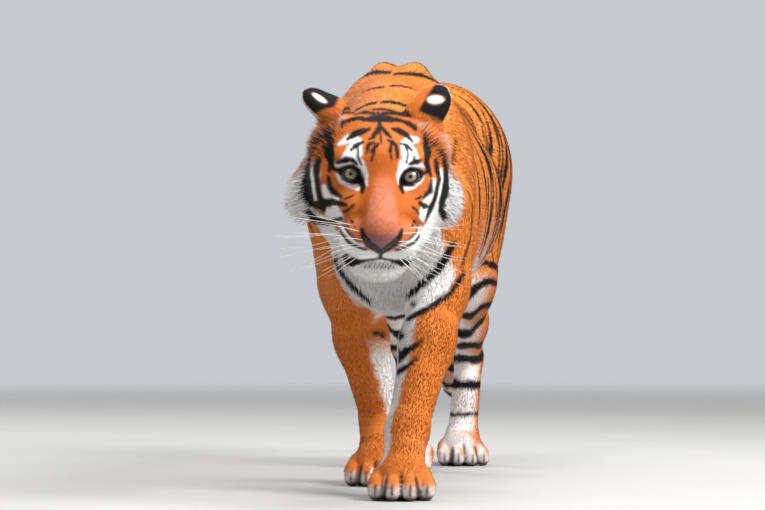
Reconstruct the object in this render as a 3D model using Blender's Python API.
# A grown Malayan tiger, life size, walking with its head low.
# It faces -Y, its left side is +X, and its soles rest on z = 0.
#
# The body is planned as muscles: balls (ellipsoids) and bones (tapered, flattened capsules) that run
# softly into one another. One closed surface is drawn round them all, thinned to few faces, and parted
# by thin plane cuts into head, neck, trunk, tail and legs.
import math
import bpy
import bmesh
import numpy as np
from mathutils import Matrix

# Driving sizes, metres
withersHeight = 0.84          # floor to the top of the shoulder blades, coat included
planHeight = 0.84             # the height at which the plan below is drawn
meshCell = 0.0085             # grid on which the surface is drawn
bodyTriangles = 4700          # the whole body after thinning
cutGap = 0.0004               # clear space between neighbouring parts
eyeRadius = 0.0175
eyeClearance = 0.0006         # between an eyeball and its socket
eyeSpread = 0.0545            # each eye's distance from the middle of the face
soleDepth = 0.004             # how far the toes are planned below the floor, and cut flat

# The head's own frame: origin between the eyes, -y to the nose, +z to the crown
headPlace = (0.031, -0.500, 0.598)
headPitch = 20.0              # degrees, nose down
headYaw = 10.0                # towards the animal's left
headRoll = 2.5                # left eye lower

# Muscles of the middle line: name, centre, half sizes, blend
trunkBalls = (
    ("rib cage", (0, 0.17, 0.545), (0.158, 0.33, 0.212), 0.05),
    ("belly", (0, 0.42, 0.560), (0.174, 0.30, 0.190), 0.06),
    ("brisket", (0, -0.06, 0.475), (0.112, 0.155, 0.140), 0.05),
    ("hips", (0, 0.77, 0.665), (0.142, 0.165, 0.160), 0.05),
    ("rump", (0, 0.88, 0.665), (0.100, 0.10, 0.120), 0.05),
)
# name, one end, other end, radii, blend, flatness across the body
trunkBones = (
    ("back", (0, 0.12, 0.690), (0, 0.78, 0.700), 0.090, 0.100, 0.05, 1.0),
    ("neck", (0, 0.00, 0.660), (0.014, -0.330, 0.600), 0.148, 0.112, 0.06, 0.84),
    ("crest", (0, -0.02, 0.725), (0.010, -0.32, 0.640), 0.080, 0.075, 0.05, 1.0),
    ("throat", (0, -0.10, 0.480), (0.016, -0.33, 0.520), 0.100, 0.085, 0.05, 1.0),
)
# Muscles that the body has on both sides, drawn for the left
sideBalls = (
    ("blade top", (0.030, 0.060, 0.762), (0.044, 0.100, 0.075), 0.03),
    ("blade", (0.058, 0.020, 0.700), (0.060, 0.100, 0.095), 0.03),
    ("shoulder", (0.095, -0.015, 0.600), (0.060, 0.115, 0.140), 0.04),
    ("buttock", (0.080, 0.890, 0.620), (0.060, 0.085, 0.120), 0.04),
)
# The head, in its own frame
headBalls = (
    ("brain case", (0, 0.095, 0.008), (0.090, 0.130, 0.080), 0.03),
    ("forehead", (0, 0.035, 0.022), (0.066, 0.062, 0.046), 0.03),
    ("nose tip", (0, -0.124, -0.070), (0.035, 0.024, 0.026), 0.012),
    ("lip middle", (0, -0.080, -0.095), (0.052, 0.052, 0.034), 0.015),
    ("face core", (0, -0.020, -0.070), (0.050, 0.075, 0.055), 0.02),
    ("chin", (0, -0.072, -0.142), (0.042, 0.048, 0.036), 0.015),
    ("throat top", (0, 0.020, -0.120), (0.060, 0.100, 0.050), 0.03),
)
headSideBalls = (
    ("brow", (0.050, 0.018, 0.028), (0.036, 0.032, 0.020), 0.02),
    ("cheek", (0.086, 0.065, -0.035), (0.042, 0.070, 0.055), 0.03),
    ("temple", (0.080, 0.100, 0.012), (0.040, 0.060, 0.055), 0.03),
    ("upper jaw", (0.052, -0.022, -0.048), (0.036, 0.062, 0.036), 0.025),
    ("whisker pad", (0.037, -0.088, -0.088), (0.037, 0.048, 0.036), 0.012),
    ("jowl", (0.062, 0.035, -0.092), (0.036, 0.060, 0.042), 0.03),
    ("ruff", (0.100, 0.110, -0.052), (0.052, 0.058, 0.070), 0.035),
    ("ruff tip", (0.120, 0.135, -0.085), (0.044, 0.048, 0.062), 0.03),
)
headBones = (
    ("nose bridge", (0, 0.012, 0.000), (0, -0.108, -0.056), 0.041, 0.031, 0.02, 1.1),
    ("left jaw", (0.026, -0.070, -0.132), (0.078, 0.085, -0.100), 0.034, 0.045, 0.03, 1.0),
    ("right jaw", (-0.026, -0.070, -0.132), (-0.078, 0.085, -0.100), 0.034, 0.045, 0.03, 1.0),
)
eyeSocket = ((0.056, -0.024, 0.001), (0.022, 0.021, 0.014), 0.012)
# Ears, turned back: base in the head's frame, the way the tip points and the way the back faces
ears = {
    "left": ((0.072, 0.135, 0.062), (0.55, 0.10, 0.80), (-0.10, -0.85, 0.42)),
    "right": ((-0.076, 0.130, 0.066), (-0.84, 0.10, 0.52), (0.35, -0.35, 0.85)),
}
# Legs: joints from the top down, the paw's place on the floor and its turn in degrees
foreLegs = {
    "left": ((0.108, -0.125, 0.545), (0.094, -0.095, 0.385), (0.052, -0.262, 0.125), (0.050, -0.335), 6),
    "right": ((-0.108, -0.10, 0.545), (-0.098, 0.045, 0.390), (-0.052, 0.175, 0.125), (-0.052, 0.115), 4),
}
hindLegs = {
    "left": ((0.083, 0.80, 0.62), (0.076, 0.70, 0.405), (0.046, 0.955, 0.230), (0.036, 0.88), 14),
    "right": ((-0.083, 0.80, 0.62), (-0.085, 0.585, 0.415), (-0.055, 0.735, 0.205), (-0.045, 0.620), -8),
}
hindPawSize = 0.90            # against a front paw
toes = ((-0.047, 0.028), (-0.0165, 0.050), (0.0165, 0.050), (0.047, 0.028))
# The tail's stations, root to tip: place and radius
tail = (
    ((0, 0.93, 0.735), 0.050), ((0, 1.02, 0.670), 0.042), ((-0.005, 1.085, 0.560), 0.037),
    ((-0.010, 1.130, 0.430), 0.034), ((-0.015, 1.175, 0.300), 0.032), ((-0.020, 1.250, 0.195), 0.031),
    ((-0.022, 1.345, 0.155), 0.030), ((-0.020, 1.440, 0.175), 0.028), ((-0.012, 1.515, 0.235), 0.020),
)
tailSteps = 3                 # rounds of the curve between two stations

# Colours, linear
orange = (0.62, 0.20, 0.035)
paleOrange = (0.70, 0.36, 0.14)
cream = (0.78, 0.70, 0.60)
earBlack = (0.02, 0.018, 0.022)
nosePink = (0.42, 0.16, 0.13)
eyeGrey = (0.38, 0.36, 0.24)


# ---------------------------------------------------------------- muscles

muscles = []


def unit(v):
    v = np.asarray(v, float)
    return v / np.linalg.norm(v)


def turned(pitch=0.0, yaw=0.0, roll=0.0):
    """Rotation from degrees of pitch about x, then roll about y, then yaw about z."""
    turns = ((yaw, "Z"), (roll, "Y"), (pitch, "X"))
    result = np.eye(3)
    for angle, axis in turns:
        result = result @ np.array(Matrix.Rotation(math.radians(angle), 3, axis))
    return result


def ball(centre, halfSizes, blend, turn=None, frame=None, carve=False):
    """An ellipsoid of flesh, or of air where carve is set; frame is (rotation, origin)."""
    turn = np.eye(3) if turn is None else turn
    centre = np.asarray(centre, float)
    if frame is not None:
        turn = frame[0] @ turn
        centre = frame[0] @ centre + frame[1]
    halfSizes = np.asarray(halfSizes, float)
    reach = np.sqrt(((turn * halfSizes) ** 2).sum(1))
    muscles.append(dict(kind="ball", centre=centre, sizes=halfSizes, turn=turn, blend=blend, carve=carve,
                        low=centre - reach, high=centre + reach))


def bone(start, end, startRadius, endRadius, blend, flat=1.0, frame=None):
    """A tapered capsule, its width across the body multiplied by flat."""
    start, end = np.asarray(start, float), np.asarray(end, float)
    across = np.array((1.0, 0.0, 0.0))
    if frame is not None:
        start, end = frame[0] @ start + frame[1], frame[0] @ end + frame[1]
        across = frame[0] @ across
    along = unit(end - start)
    across = unit(across - along * (across @ along))
    reach = max(startRadius, endRadius) * max(1.0, flat)
    muscles.append(dict(kind="bone", start=start, end=end, radii=(startRadius, endRadius), flat=flat,
                        across=across, blend=blend, carve=False,
                        low=np.minimum(start, end) - reach, high=np.maximum(start, end) + reach))


def muscleDistance(muscle, points):
    """About how far each point is outside one muscle."""
    if muscle["kind"] == "ball":
        local = (points - muscle["centre"]) @ muscle["turn"]
        scaled = np.linalg.norm(local / muscle["sizes"], axis=1)
        steepness = np.linalg.norm(local / muscle["sizes"] ** 2, axis=1)
        return scaled * (scaled - 1) / np.maximum(steepness, 1e-9)
    axis = muscle["end"] - muscle["start"]
    local = points - muscle["start"]
    along = np.clip(local @ axis / (axis @ axis), 0, 1)
    off = local - along[:, None] * axis
    sideways = off @ muscle["across"]
    off = off + ((1 / muscle["flat"] - 1) * sideways)[:, None] * muscle["across"]
    radius = muscle["radii"][0] + along * (muscle["radii"][1] - muscle["radii"][0])
    return (np.linalg.norm(off, axis=1) - radius) * min(1.0, muscle["flat"])


def bodyDistance(points):
    """Below 0 inside the body: every muscle runs into the last ones over its blend."""
    result = np.full(len(points), 0.08)
    for muscle in muscles:
        blend = muscle["blend"]
        margin = blend + 0.035
        near = ((points > muscle["low"] - margin) & (points < muscle["high"] + margin)).all(1)
        near = np.flatnonzero(near)
        if not len(near):
            continue
        new = muscleDistance(muscle, points[near])
        old = result[near]
        if muscle["carve"]:
            share = np.clip(0.5 - 0.5 * (old + new) / blend, 0, 1)
            result[near] = old * (1 - share) - new * share + blend * share * (1 - share)
        else:
            share = np.clip(0.5 + 0.5 * (new - old) / blend, 0, 1)
            result[near] = new * (1 - share) + old * share - blend * share * (1 - share)
    return result


# ---------------------------------------------------------------- the plan of the animal

def planTrunk():
    for name, centre, sizes, blend in trunkBalls:
        ball(centre, sizes, blend)
    for name, start, end, r0, r1, blend, flat in trunkBones:
        bone(start, end, r0, r1, blend, flat)
    for name, centre, sizes, blend in sideBalls:
        for side in (1, -1):
            ball((side * centre[0], centre[1], centre[2]), sizes, blend)


def planHead():
    frame = headFrame()
    for name, centre, sizes, blend in headBalls:
        ball(centre, sizes, blend, frame=frame)
    for name, start, end, r0, r1, blend, flat in headBones:
        bone(start, end, r0, r1, blend, flat, frame=frame)
    for name, centre, sizes, blend in headSideBalls:
        for side in (1, -1):
            ball((side * centre[0], centre[1], centre[2]), sizes, blend, frame=frame)
    centre, sizes, blend = eyeSocket
    for side in (1, -1):
        ball((side * centre[0], centre[1], centre[2]), sizes, blend, frame=frame, carve=True)


def headFrame():
    return turned(headPitch, headYaw, headRoll), np.array(headPlace)


def earFrame(side):
    """An ear's frame: +z to its tip, -y out of its back."""
    base, tip, back = ears[side]
    tip = unit(tip)
    back = np.array(back)
    hollowWay = -unit(back - tip * (back @ tip))
    turn = np.stack([np.cross(hollowWay, tip), hollowWay, tip], 1)
    headTurn, headOrigin = headFrame()
    return headTurn @ turn, headTurn @ np.array(base) + headOrigin


def planEars():
    for side in ears:
        frame = earFrame(side)
        ball((0, 0, 0.040), (0.033, 0.020, 0.042), 0.014, frame=frame)
        ball((0, 0, 0.010), (0.036, 0.026, 0.030), 0.020, frame=frame)
        ball((0, 0.025, 0.046), (0.025, 0.020, 0.031), 0.008, frame=frame, carve=True)


def planPaw(place, degrees, size=1.0):
    """Palm, heel pad and four toes, turned about the vertical."""
    turn = turned(yaw=degrees)

    def at(across, forward, height):
        flat = turn @ np.array((across, -forward, 0)) * size
        return flat + np.array((place[0], place[1], height * size))

    ball(at(0, -0.005, 0.038), np.array((0.052, 0.060, 0.040)) * size, 0.02, turn=turn)
    ball(at(0, 0.000, 0.014), np.array((0.050, 0.062, 0.024)) * size, 0.02, turn=turn)
    for across, forward in toes:
        bone(at(across * 0.8, forward - 0.035, 0.045), at(across, forward + 0.002, 0.030),
             0.020 * size, 0.0185 * size, 0.012)
        low = 0.022 * size - soleDepth
        centre = at(across, forward + 0.014, 0)
        centre[2] = low
        ball(centre, np.array((0.0175, 0.022, 0.022)) * size, 0.012, turn=turn)


def planForeLeg(shoulder, elbow, wrist, paw, degrees):
    shoulder, elbow, wrist = (np.array(joint, float) for joint in (shoulder, elbow, wrist))
    middle = elbow * 0.62 + wrist * 0.38
    bone(shoulder, elbow, 0.072, 0.062, 0.04, 0.85)
    ball((shoulder + elbow) / 2 + (0, 0.055, 0), (0.052, 0.075, 0.100), 0.04)
    bone(elbow, middle, 0.064, 0.058, 0.03, 0.9)
    bone(middle, wrist, 0.057, 0.044, 0.03, 0.95)
    bone(wrist, (paw[0], paw[1] + 0.01, 0.050), 0.044, 0.042, 0.02)
    ball(elbow + (0, 0.040, -0.005), (0.035, 0.035, 0.045), 0.03)
    planPaw(paw, degrees)


def planHindLeg(hip, knee, hock, paw, degrees):
    hip, knee, hock = (np.array(joint, float) for joint in (hip, knee, hock))
    calf = knee * 0.45 + hock * 0.55
    heel = (paw[0], paw[1] + 0.030, 0.060)
    bone(hip, knee, 0.110, 0.078, 0.05, 0.62)
    ball(hip * 0.45 + knee * 0.55 + (0, 0.085, 0), (0.050, 0.100, 0.120), 0.05)
    bone(knee, calf, 0.072, 0.048, 0.04, 0.72)
    bone(calf, hock, 0.046, 0.032, 0.03, 0.9)
    bone(hock + (0, 0.004, 0.005), heel, 0.034, 0.036, 0.02)
    bone(heel, (paw[0], paw[1], 0.045), 0.036, 0.036, 0.02)
    planPaw(paw, degrees, hindPawSize)


def tailBeads():
    """Points on a smooth curve through the tail's stations, each with its radius."""
    places = [np.array(place, float) for place, radius in tail]
    radii = [radius for place, radius in tail]
    places = [2 * places[0] - places[1]] + places + [2 * places[-1] - places[-2]]
    beads = []
    for i in range(len(radii) - 1):
        a, b, c, d = places[i:i + 4]
        for step in range(tailSteps):
            t = step / tailSteps
            curve = 2*b + (c - a)*t + (2*a - 5*b + 4*c - d)*t**2 + (3*b - a - 3*c + d)*t**3
            beads.append((curve / 2, radii[i] * (1 - t) + radii[i + 1] * t))
    beads.append((places[-2], radii[-1]))
    return beads


def planTail():
    beads = tailBeads()
    for (start, r0), (end, r1) in zip(beads[:-1], beads[1:]):
        bone(start, end, r0, r1, 0.012)


# ---------------------------------------------------------------- the surface

def drawSurface(cell, block=6):
    """A closed quad mesh round the muscles: one point in each grid cell that the surface crosses."""
    low = np.min([muscle["low"] for muscle in muscles], 0) - 3 * cell
    high = np.max([muscle["high"] for muscle in muscles], 0) + 3 * cell
    blocks = np.ceil((high - low) / cell / block).astype(int)
    middles = [low[i] + (np.arange(blocks[i]) + 0.5) * cell * block for i in range(3)]
    grid = np.stack(np.meshgrid(*middles, indexing="ij"), -1).reshape(-1, 3)
    coarse = bodyDistance(grid)
    size = blocks * block + 1
    values = coarse.reshape(blocks)
    for axis in range(3):
        values = np.repeat(values, block, axis)
    values = np.pad(values, ((0, 1), (0, 1), (0, 1)), mode="edge")
    busy = np.zeros(size, bool)
    for i, j, k in np.argwhere((np.abs(coarse) < cell * block * 1.25 + 0.012).reshape(blocks)):
        busy[i*block:(i + 1)*block + 1, j*block:(j + 1)*block + 1, k*block:(k + 1)*block + 1] = True
    corner = np.argwhere(busy)
    values[busy] = bodyDistance(low + corner * cell)
    inside = values < 0

    corners = [(i, j, k) for i in (0, 1) for j in (0, 1) for k in (0, 1)]
    filled = sum(inside[i:size[0] - 1 + i, j:size[1] - 1 + j, k:size[2] - 1 + k].astype(int)
                 for i, j, k in corners)
    cells = np.argwhere((filled > 0) & (filled < 8))
    number = np.full(tuple(size - 1), -1)
    number[tuple(cells.T)] = np.arange(len(cells))
    total, hits = np.zeros((len(cells), 3)), np.zeros(len(cells))
    for first in corners:
        for axis in range(3):
            if first[axis]:
                continue
            step = np.eye(3, dtype=int)[axis]
            here, there = cells + first, cells + first + step
            a, b = values[tuple(here.T)], values[tuple(there.T)]
            crossed = (a < 0) != (b < 0)
            share = a[crossed] / (a[crossed] - b[crossed])
            total[crossed] += here[crossed] + share[:, None] * step
            hits[crossed] += 1
    points = low + total / hits[:, None] * cell

    faces = []
    for axis in range(3):
        step = np.eye(3, dtype=int)[axis]
        u, v = (axis + 1) % 3, (axis + 2) % 3
        first = inside[tuple(slice(0, -1) if i == axis else slice(None) for i in range(3))]
        second = inside[tuple(slice(1, None) if i == axis else slice(None) for i in range(3))]
        edge = np.argwhere(first != second)
        around = []
        for du, dv in ((-1, -1), (0, -1), (0, 0), (-1, 0)):
            neighbour = edge.copy()
            neighbour[:, u] += du
            neighbour[:, v] += dv
            around.append(number[tuple(neighbour.T)])
        around = np.stack(around, 1)
        inward = ~inside[tuple(edge.T)]
        around[inward] = around[inward][:, ::-1]
        faces.append(around)
    return points, np.concatenate(faces)


def meshObject(name, points, faces):
    mesh = bpy.data.meshes.new(name)
    mesh.from_pydata([tuple(p) for p in points], [], [tuple(f) for f in faces])
    mesh.update()
    made = bpy.data.objects.new(name, mesh)
    bpy.context.scene.collection.objects.link(made)
    return made


def settleModifiers(made):
    """Put the result of an object's modifiers into its own mesh."""
    graph = bpy.context.evaluated_depsgraph_get()
    mesh = bpy.data.meshes.new_from_object(made.evaluated_get(graph))
    made.modifiers.clear()
    old = made.data
    made.data = mesh
    bpy.data.meshes.remove(old)


def thin(made, triangles):
    bm = bmesh.new()
    bm.from_mesh(made.data)
    bmesh.ops.triangulate(bm, faces=bm.faces)
    count = len(bm.faces)
    bm.to_mesh(made.data)
    bm.free()
    decimate = made.modifiers.new("thin", "DECIMATE")
    decimate.ratio = triangles / count
    settleModifiers(made)


# ---------------------------------------------------------------- parting

def cutBlock(outline, across, frame=None, grow=0.0):
    """A convex outline drawn in the side view (y, z) and drawn out from across[0] to across[1] in x.
    grow moves every face of it outward."""
    outline = [np.array(p, float) for p in outline]
    middle = sum(outline) / len(outline)
    lines = []
    for a, b in zip(outline, outline[1:] + outline[:1]):
        normal = unit((b - a)[::-1] * (1, -1))
        normal = normal if normal @ (a - middle) > 0 else -normal
        lines.append((normal, normal @ a + grow))
    corners = []
    for (n0, d0), (n1, d1) in zip(lines[-1:] + lines[:-1], lines):
        corners.append(np.linalg.solve(np.array((n0, n1)), np.array((d0, d1))))
    low, high = min(across) - grow, max(across) + grow
    points = [np.array((x, y, z)) for x in (low, high) for y, z in corners]
    if frame is not None:
        points = [frame[0] @ p + frame[1] for p in points]
    count = len(corners)
    sides = [(i, (i + 1) % count, count + (i + 1) % count, count + i) for i in range(count)]
    block = meshObject("cutter", points, sides + [tuple(range(count)), tuple(range(count, 2 * count))])
    bm = bmesh.new()
    bm.from_mesh(block.data)
    bmesh.ops.recalc_face_normals(bm, faces=bm.faces)
    bm.to_mesh(block.data)
    bm.free()
    return block


def boolean(made, cutter, operation):
    cut = made.modifiers.new("cut", "BOOLEAN")
    cut.operation = operation
    cut.solver = "EXACT"
    cut.object = cutter
    cutter.hide_render = True
    cutter.display_type = "WIRE"
    settleModifiers(made)
    mesh = cutter.data
    bpy.data.objects.remove(cutter)
    bpy.data.meshes.remove(mesh)


def takeOff(whole, name, outline, across=(-0.4, 0.4), frame=None):
    """Part of the whole becomes an object of its own, cutGap away from the rest."""
    piece = bpy.data.objects.new(name, whole.data.copy())
    bpy.context.scene.collection.objects.link(piece)
    boolean(piece, cutBlock(outline, across, frame), "INTERSECT")
    boolean(whole, cutBlock(outline, across, frame, cutGap), "DIFFERENCE")
    return piece


def box(y0, y1, z0, z1):
    return ((y0, z0), (y1, z0), (y1, z1), (y0, z1))


def partLegs(body):
    """Each paw is cut at the wrist or hock, and each leg under the elbow or knee."""
    middle = 0.05
    paws = {
        "left_forepaw": box(-0.60, -0.20, -0.03, 0.100), "right_forepaw": box(-0.02, 0.30, -0.03, 0.100),
        "left_hind_paw": box(0.76, 1.04, -0.03, 0.095), "right_hind_paw": box(0.50, 0.745, -0.03, 0.095),
    }
    legs = {
        "left_foreleg": ((0.02, 0.03), (0.02, 0.325), (-0.19, 0.390), (-0.50, 0.390), (-0.50, 0.03)),
        "right_foreleg": ((0.30, 0.03), (0.30, 0.330), (0.05, 0.330), (-0.12, 0.300), (-0.12, 0.03)),
        "left_hind_leg": ((1.04, 0.03), (1.04, 0.455), (0.80, 0.455), (0.66, 0.260), (0.66, 0.03)),
        "right_hind_leg": ((0.90, 0.03), (0.90, 0.452), (0.72, 0.452), (0.52, 0.310), (0.49, 0.270),
                           (0.49, 0.03)),
    }
    parts = {}
    for name, outline in paws.items():
        side = 1 if name.startswith("left") else -1
        parts[name] = takeOff(body, name, outline, (-middle * side, 0.3 * side))
    for name, outline in legs.items():
        side = 1 if name.startswith("left") else -1
        parts[name] = takeOff(body, name, outline, (0.001 * side, 0.3 * side))
    return parts


def partHead(body):
    frame = headFrame()
    head = takeOff(body, "head", ((-0.295, 0.36), (-0.345, 0.85), (-0.80, 0.85), (-0.80, 0.36)))
    parts = {"head": head}
    for side in ears:
        parts[side + "_ear"] = takeOff(head, side + "_ear", box(-0.06, 0.06, 0.016, 0.12), (-0.06, 0.06),
                                       earFrame(side))
    muzzle = takeOff(head, "muzzle", box(-0.2, -0.046, -0.25, 0.1), (-0.2, 0.2), frame)
    parts["muzzle"] = muzzle
    parts["lower_jaw"] = takeOff(muzzle, "lower_jaw", box(-0.3, 0.1, -0.3, -0.116), (-0.2, 0.2), frame)
    parts["nose"] = takeOff(muzzle, "nose", box(-0.3, -0.122, -0.098, 0.0), (-0.036, 0.036), frame)
    return parts


def partTrunk(body):
    """Tail, neck, thighs and the three lengths of the trunk."""
    parts = {}
    parts["neck"] = takeOff(body, "neck", ((-0.160, 0.392), (-0.200, 0.85), (-0.5, 0.85), (-0.5, 0.392)))
    thighs = {
        "left": ((0.60, 0.25), (0.60, 0.36), (0.66, 0.54), (1.02, 0.54), (1.02, 0.25)),
        "right": ((0.47, 0.25), (0.47, 0.42), (0.58, 0.56), (1.02, 0.56), (1.02, 0.25)),
    }
    for side, sign in (("left", 1), ("right", -1)):
        parts[side + "_thigh"] = takeOff(body, side + "_thigh", thighs[side], (0.012 * sign, 0.3 * sign))
    parts["shoulders"] = takeOff(body, "shoulders", box(-0.5, 0.27, 0.2, 0.95))
    parts["hips"] = takeOff(body, "hips", box(0.62, 1.2, 0.2, 0.95))
    return parts


def partTail(body):
    root = takeOff(body, "tail_root", box(1.005, 1.8, -0.05, 1.0))
    middle = takeOff(root, "tail_middle", ((0.95, -0.05), (0.95, 0.42), (1.8, 0.62), (1.8, -0.05)))
    end = takeOff(middle, "tail_end", box(1.30, 1.8, -0.05, 0.6))
    return {"tail_root": root, "tail_middle": middle, "tail_end": end}


def eyeball(side, sign):
    frame = headFrame()
    centre = frame[0] @ np.array((sign * eyeSpread, 0, 0)) + frame[1]

    def ballObject(name, radius):
        bm = bmesh.new()
        bmesh.ops.create_uvsphere(bm, u_segments=16, v_segments=10, radius=radius)
        mesh = bpy.data.meshes.new(name)
        bm.to_mesh(mesh)
        bm.free()
        made = bpy.data.objects.new(name, mesh)
        bpy.context.scene.collection.objects.link(made)
        place = Matrix.Translation(centre) @ Matrix(frame[0].tolist()).to_4x4() @ Matrix.Rotation(math.pi / 2, 4, "X")
        made.data.transform(place)
        return made

    return ballObject(side + "_eye", eyeRadius), ballObject("socket", eyeRadius + eyeClearance)


# ---------------------------------------------------------------- finish

def dress(made, colour, roughness=0.8):
    material = bpy.data.materials.new(made.name + "_coat")
    material.use_nodes = True
    shader = material.node_tree.nodes["Principled BSDF"]
    shader.inputs["Base Color"].default_value = (*colour, 1)
    shader.inputs["Roughness"].default_value = roughness
    shader.inputs["Metallic"].default_value = 0.0
    made.data.materials.clear()
    made.data.materials.append(material)
    for face in made.data.polygons:
        face.use_smooth = True
    made.data.set_sharp_from_angle(angle=math.radians(50))


def standOnFloor(objects):
    """Scale to the driving height, and put the middle of the box over the origin."""
    scale = Matrix.Scale(withersHeight / planHeight, 4)
    for made in objects:
        made.data.transform(scale)
    corners = np.array([vertex.co for made in objects for vertex in made.data.vertices])
    middle = (corners.min(0) + corners.max(0)) / 2
    move = Matrix.Translation((-middle[0], -middle[1], 0))
    for made in objects:
        made.data.transform(move)


def main():
    for old in list(bpy.data.objects):
        bpy.data.objects.remove(old)
    planTrunk()
    planHead()
    for leg in foreLegs.values():
        planForeLeg(*leg)
    for leg in hindLegs.values():
        planHindLeg(*leg)
    planTail()
    planEars()
    body = meshObject("trunk", *drawSurface(meshCell))
    thin(body, bodyTriangles)
    boolean(body, cutBlock(box(-1.5, 2.5, -0.2, 0.0), (-0.6, 0.6)), "DIFFERENCE")

    parts = partTail(body)
    parts.update(partLegs(body))
    parts.update(partHead(body))
    parts.update(partTrunk(body))
    parts["trunk"] = body
    for side, sign in (("left", 1), ("right", -1)):
        eye, socket = eyeball(side, sign)
        boolean(parts["head"], socket, "DIFFERENCE")
        parts[side + "_eye"] = eye

    colours = {"left_eye": eyeGrey, "right_eye": eyeGrey, "nose": nosePink, "left_ear": earBlack,
               "right_ear": earBlack, "lower_jaw": cream, "muzzle": paleOrange}
    for name, made in parts.items():
        dress(made, colours.get(name, orange), 0.15 if "eye" in name else 0.8)
    standOnFloor(list(parts.values()))


main()
